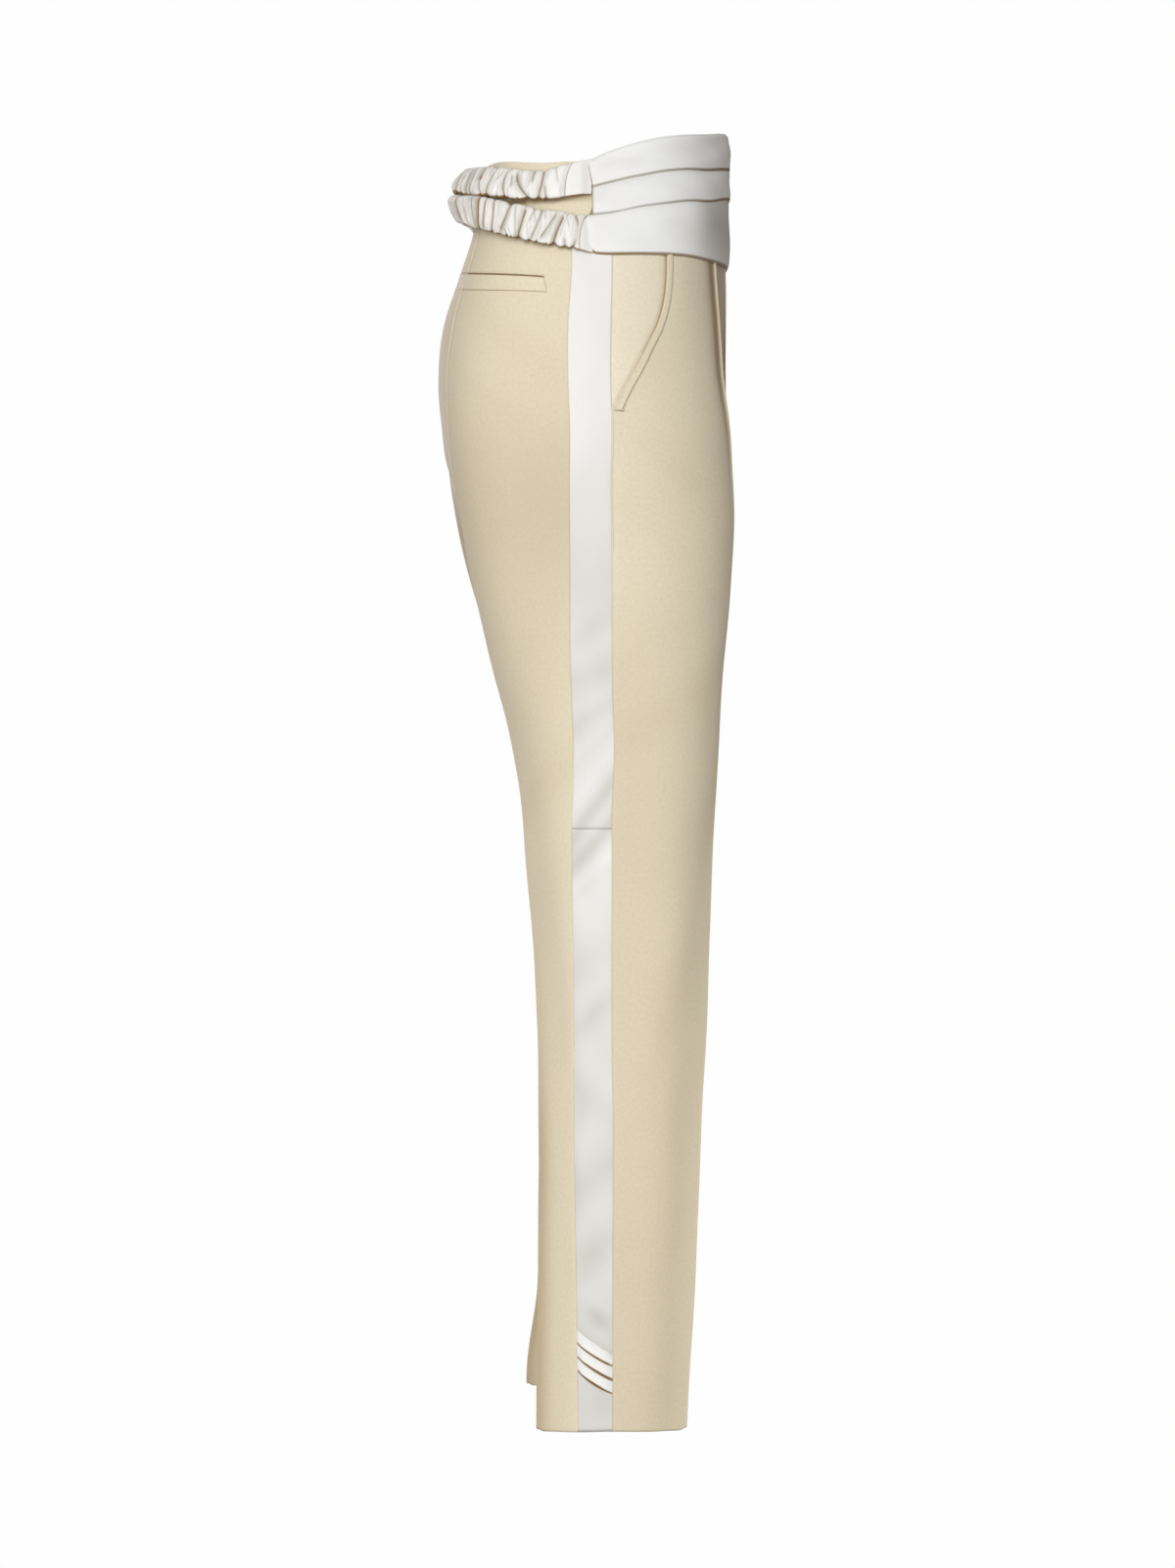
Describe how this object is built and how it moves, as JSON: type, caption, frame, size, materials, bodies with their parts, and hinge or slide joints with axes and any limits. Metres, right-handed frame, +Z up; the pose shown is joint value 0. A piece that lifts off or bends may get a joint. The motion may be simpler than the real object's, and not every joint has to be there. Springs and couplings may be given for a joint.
{
  "type": "cigarette trousers",
  "caption": "Slim straight trousers with a pleated satin cummerbund front, gathered straps round the back, satin side panels, slant pockets and pressed creases.",
  "frame": {"origin": "middle of the waist opening, in the waistband 16 mm above its seam at the sides, where the wearer's waist holds the garment", "axes": "+Z up to the waist, -Y the front, +Y the seat, +X the wearer's left"},
  "size_m": [0.3562, 0.2511, 1.0937],
  "materials": {
    "wool": "matt beige twill, softly napped",
    "satin": "off-white satin with a soft sheen"
  },
  "bodies": {
    "root": {"front_L": "wool", "back_L": "wool", "side_panel_upper_L": "satin", "side_panel_lower_L": "satin", "pocket_facing_L": "wool", "waistband_L": "wool", "pocket_welt_L": "wool", "back_welt_L": "wool", "hem_pleat_1_L": "satin", "hem_pleat_2_L": "satin", "hem_pleat_3_L": "satin", "front_R": "wool", "back_R": "wool", "side_panel_upper_R": "satin", "side_panel_lower_R": "satin", "pocket_facing_R": "wool", "waistband_R": "wool", "pocket_welt_R": "wool", "back_welt_R": "wool", "hem_pleat_1_R": "satin", "hem_pleat_2_R": "satin", "hem_pleat_3_R": "satin", "fly_R": "wool", "belt_upper": "satin", "belt_middle": "satin", "belt_lower": "satin", "strap_upper": "satin", "strap_lower": "satin"}
  },
  "joints": []
}
